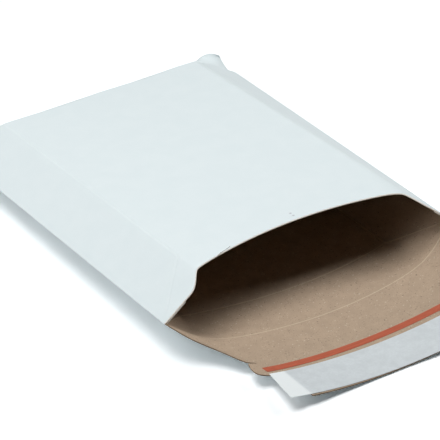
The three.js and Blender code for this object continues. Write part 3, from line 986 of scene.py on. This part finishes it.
def lay_strip(scene, name, kind, material, node, height=0.0, skew=0.0, slant=0.0):
    """Lays a strip that follows the inside of the flap, on the board unless a height is
    given. Gives its mesh and its points' places across the blank."""
    blank, strips = Blank(scene.envelope_board), scene.envelope_strips
    place, width, half = (getattr(strips, f"{kind}_{key}")
                          for key in ("place", "width", "half"))
    columns, bands = strips.columns, max(2, round(width / STRIP_STEP))
    i = np.linspace(0, 1, columns + 1)[None, :]
    j = np.linspace(0, 1, bands + 1)[:, None]
    u = mix(-half - slant * j, half, i)
    t = blank.total + place + width * j + math.tan(skew) * u
    outer, normal = blank.point(u, t) + row_shift(blank), blank.normal(u, t)
    low = blank.s.thickness + (height or strips.gap)
    points = np.concatenate([(outer - normal * lift).reshape(-1, 3)
                             for lift in (low, low + strips.thickness)])
    faces, _ = shell_faces(bands + 1, columns + 1, [False] * (bands + 1))
    mesh = make_mesh(kind, points, faces)
    add_piece(name, mesh, [material], node)
    shade_smooth(mesh)
    return mesh, np.tile(u.reshape(-1), 2)


class ENVELOPE_OT_lay_tape(Operator):
    """Lay the red tear tape across the flap"""

    bl_idname = "envelope.lay_tape"
    bl_label = "Lay tear tape"

    def execute(self, context):
        scene = context.scene
        lay_strip(scene, "tear_tape_film", "tape", tape_film(scene.envelope_colours),
                  "tear_tape", slant=scene.envelope_strips.tape_slant)
        return {"FINISHED"}


class ENVELOPE_OT_coat_adhesive(Operator):
    """Coat the flap with its band of adhesive"""

    bl_idname = "envelope.coat_adhesive"
    bl_label = "Coat adhesive"

    def execute(self, context):
        scene = context.scene
        lay_strip(scene, "adhesive_band", "adhesive", hot_melt(scene.envelope_colours),
                  "seal_adhesive", skew=scene.envelope_strips.skew)
        return {"FINISHED"}


class ENVELOPE_OT_cover_adhesive(Operator):
    """Cover the adhesive with its release liner"""

    bl_idname = "envelope.cover_adhesive"
    bl_label = "Cover adhesive"

    def execute(self, context):
        scene = context.scene
        strips = scene.envelope_strips
        mesh, across = lay_strip(
            scene, "liner_sheet", "liner", liner_paper(scene.envelope_colours),
            "release_liner", 2 * strips.gap + strips.thickness,
            strips.skew, strips.liner_slant)
        bonded = mesh.attributes.new("bonded", "FLOAT", "POINT")
        values = smoothstep(strips.adhesive_half - np.abs(across), -1 * MM, 1 * MM)
        bonded.data.foreach_set("value", values)
        return {"FINISHED"}


def add_softbox(name, place, target, size, watts):
    """A soft rectangular lamp that faces its target."""
    light = bpy.data.lights.new(name, "AREA")
    light.shape = "RECTANGLE"
    light.size, light.size_y = size
    light.energy = watts
    lamp = bpy.data.objects.new(name, light)
    bpy.context.scene.collection.objects.link(lamp)
    lamp.location = place
    direction = lamp.location - Vector(target)
    lamp.rotation_euler = direction.to_track_quat("Z", "Y").to_euler()


def studio_floor(colours):
    """Matt paper sweep. The camera sees it paler than it is, and white far from the
    envelope, so that it reads as white."""
    material, tree, place = start_material("studio_paper")
    paper = node_in(tree, "ShaderNodeBsdfDiffuse", {"Color": tuple(colours.floor)})
    seen = node_in(tree, "ShaderNodeLightPath").outputs["Is Camera Ray"]
    lift = node_in(tree, "ShaderNodeMix", {0: seen, 6: (0, 0, 0, 1), 7: FLOOR_LIFT},
                   data_type="RGBA")
    lifted = node_in(tree, "ShaderNodeBsdfDiffuse", {"Color": lift.outputs[2]})
    both = node_in(tree, "ShaderNodeAddShader", {0: paper.outputs[0], 1: lifted.outputs[0]})
    away = node_in(tree, "ShaderNodeVectorMath", {0: place}, operation="LENGTH")
    far = node_in(tree, "ShaderNodeMapRange", {
        "Value": away.outputs["Value"], "From Min": WHITE_FROM, "From Max": WHITE_AT,
        "To Max": seen,
    })
    white = node_in(tree, "ShaderNodeEmission", WHITE_LIGHT)
    faded = node_in(tree, "ShaderNodeMixShader", {
        "Fac": far.outputs[0], 1: both.outputs[0], 2: white.outputs[0],
    })
    node_in(tree, "ShaderNodeOutputMaterial", {"Surface": faded.outputs[0]})
    return material


def studio_world():
    """Faint even light from all round, white to the camera."""
    world = bpy.data.worlds.new("studio")
    bpy.context.scene.world = world
    world.use_nodes = True
    tree = world.node_tree
    tree.nodes.clear()
    path = node_in(tree, "ShaderNodeLightPath")
    light = node_in(tree, "ShaderNodeBackground", WORLD_LIGHT)
    white = node_in(tree, "ShaderNodeBackground", WHITE_LIGHT)
    mixed = node_in(tree, "ShaderNodeMixShader", {
        "Fac": path.outputs["Is Camera Ray"], 1: light.outputs[0], 2: white.outputs[0],
    })
    node_in(tree, "ShaderNodeOutputWorld", {"Surface": mixed.outputs[0]})


class ENVELOPE_OT_set_stage(Operator):
    """Set the floor, the light and the camera"""

    bl_idname = "envelope.set_stage"
    bl_label = "Set stage"

    def execute(self, context):
        scene = context.scene
        shift = Vector(row_shift(Blank(scene.envelope_board)))
        mesh = bpy.data.meshes.new("floor")
        corners = [(x * FLOOR_REACH, y * FLOOR_REACH, 0)
                   for x, y in ((-1, -1), (1, -1), (1, 1), (-1, 1))]
        mesh.from_pydata(corners, [], [(0, 1, 2, 3)])
        mesh.materials.append(studio_floor(scene.envelope_colours))
        floor = bpy.data.objects.new("floor", mesh)
        scene.collection.objects.link(floor)
        studio_world()
        for light in LIGHTS:
            add_softbox(*light)

        azimuth, elevation = (math.radians(angle) for angle in CAMERA_ANGLES)
        back = Vector((math.sin(azimuth) * math.cos(elevation),
                       -math.cos(azimuth) * math.cos(elevation), math.sin(elevation)))
        view = bpy.data.cameras.new("camera")
        view.sensor_width = SENSOR
        view.lens = FOCAL_LENGTH / PICTURE_SIDE * SENSOR
        view.shift_x, view.shift_y = (pixels / PICTURE_SIDE for pixels in CAMERA_SHIFT)
        camera = bpy.data.objects.new("camera", view)
        scene.collection.objects.link(camera)
        camera.location = Vector(CAMERA_TARGET) + shift + CAMERA_DISTANCE * back
        camera.rotation_euler = back.to_track_quat("Z", "Y").to_euler()
        scene.camera = camera
        scene.view_settings.view_transform = "Standard"
        return {"FINISHED"}


class ENVELOPE_PT_pieces(Panel):
    """The envelope's pieces"""

    bl_idname = "ENVELOPE_PT_pieces"
    bl_label = "Envelope"
    bl_space_type = "VIEW_3D"
    bl_region_type = "UI"
    bl_category = "Envelope"

    def draw(self, context):
        for operator in OPERATORS:
            self.layout.operator(operator.bl_idname)
        for name in GROUPS:
            group = getattr(context.scene, name)
            box = self.layout.box()
            for key in group.__annotations__:
                box.prop(group, key)


GROUPS = {
    "envelope_board": BoardSizes,
    "envelope_strips": StripSizes,
    "envelope_tears": TearSizes,
    "envelope_colours": FinishColours,
}
OPERATORS = [
    ENVELOPE_OT_set_stage,
    ENVELOPE_OT_fold_board,
    ENVELOPE_OT_lay_tape,
    ENVELOPE_OT_coat_adhesive,
    ENVELOPE_OT_cover_adhesive,
    ENVELOPE_OT_fray_edges,
]
CLASSES = [*GROUPS.values(), *OPERATORS, ENVELOPE_PT_pieces]


def register():
    for cls in CLASSES:
        bpy.utils.register_class(cls)
    for name, group in GROUPS.items():
        setattr(bpy.types.Scene, name, PointerProperty(type=group))


def unregister():
    for name in GROUPS:
        delattr(bpy.types.Scene, name)
    for cls in reversed(CLASSES):
        bpy.utils.unregister_class(cls)


def main():
    register()
    bpy.ops.envelope.set_stage()
    bpy.ops.envelope.fold_board()
    bpy.ops.envelope.lay_tape()
    bpy.ops.envelope.coat_adhesive()
    bpy.ops.envelope.cover_adhesive()
    bpy.ops.envelope.fray_edges()


if __name__ == "__main__":
    main()
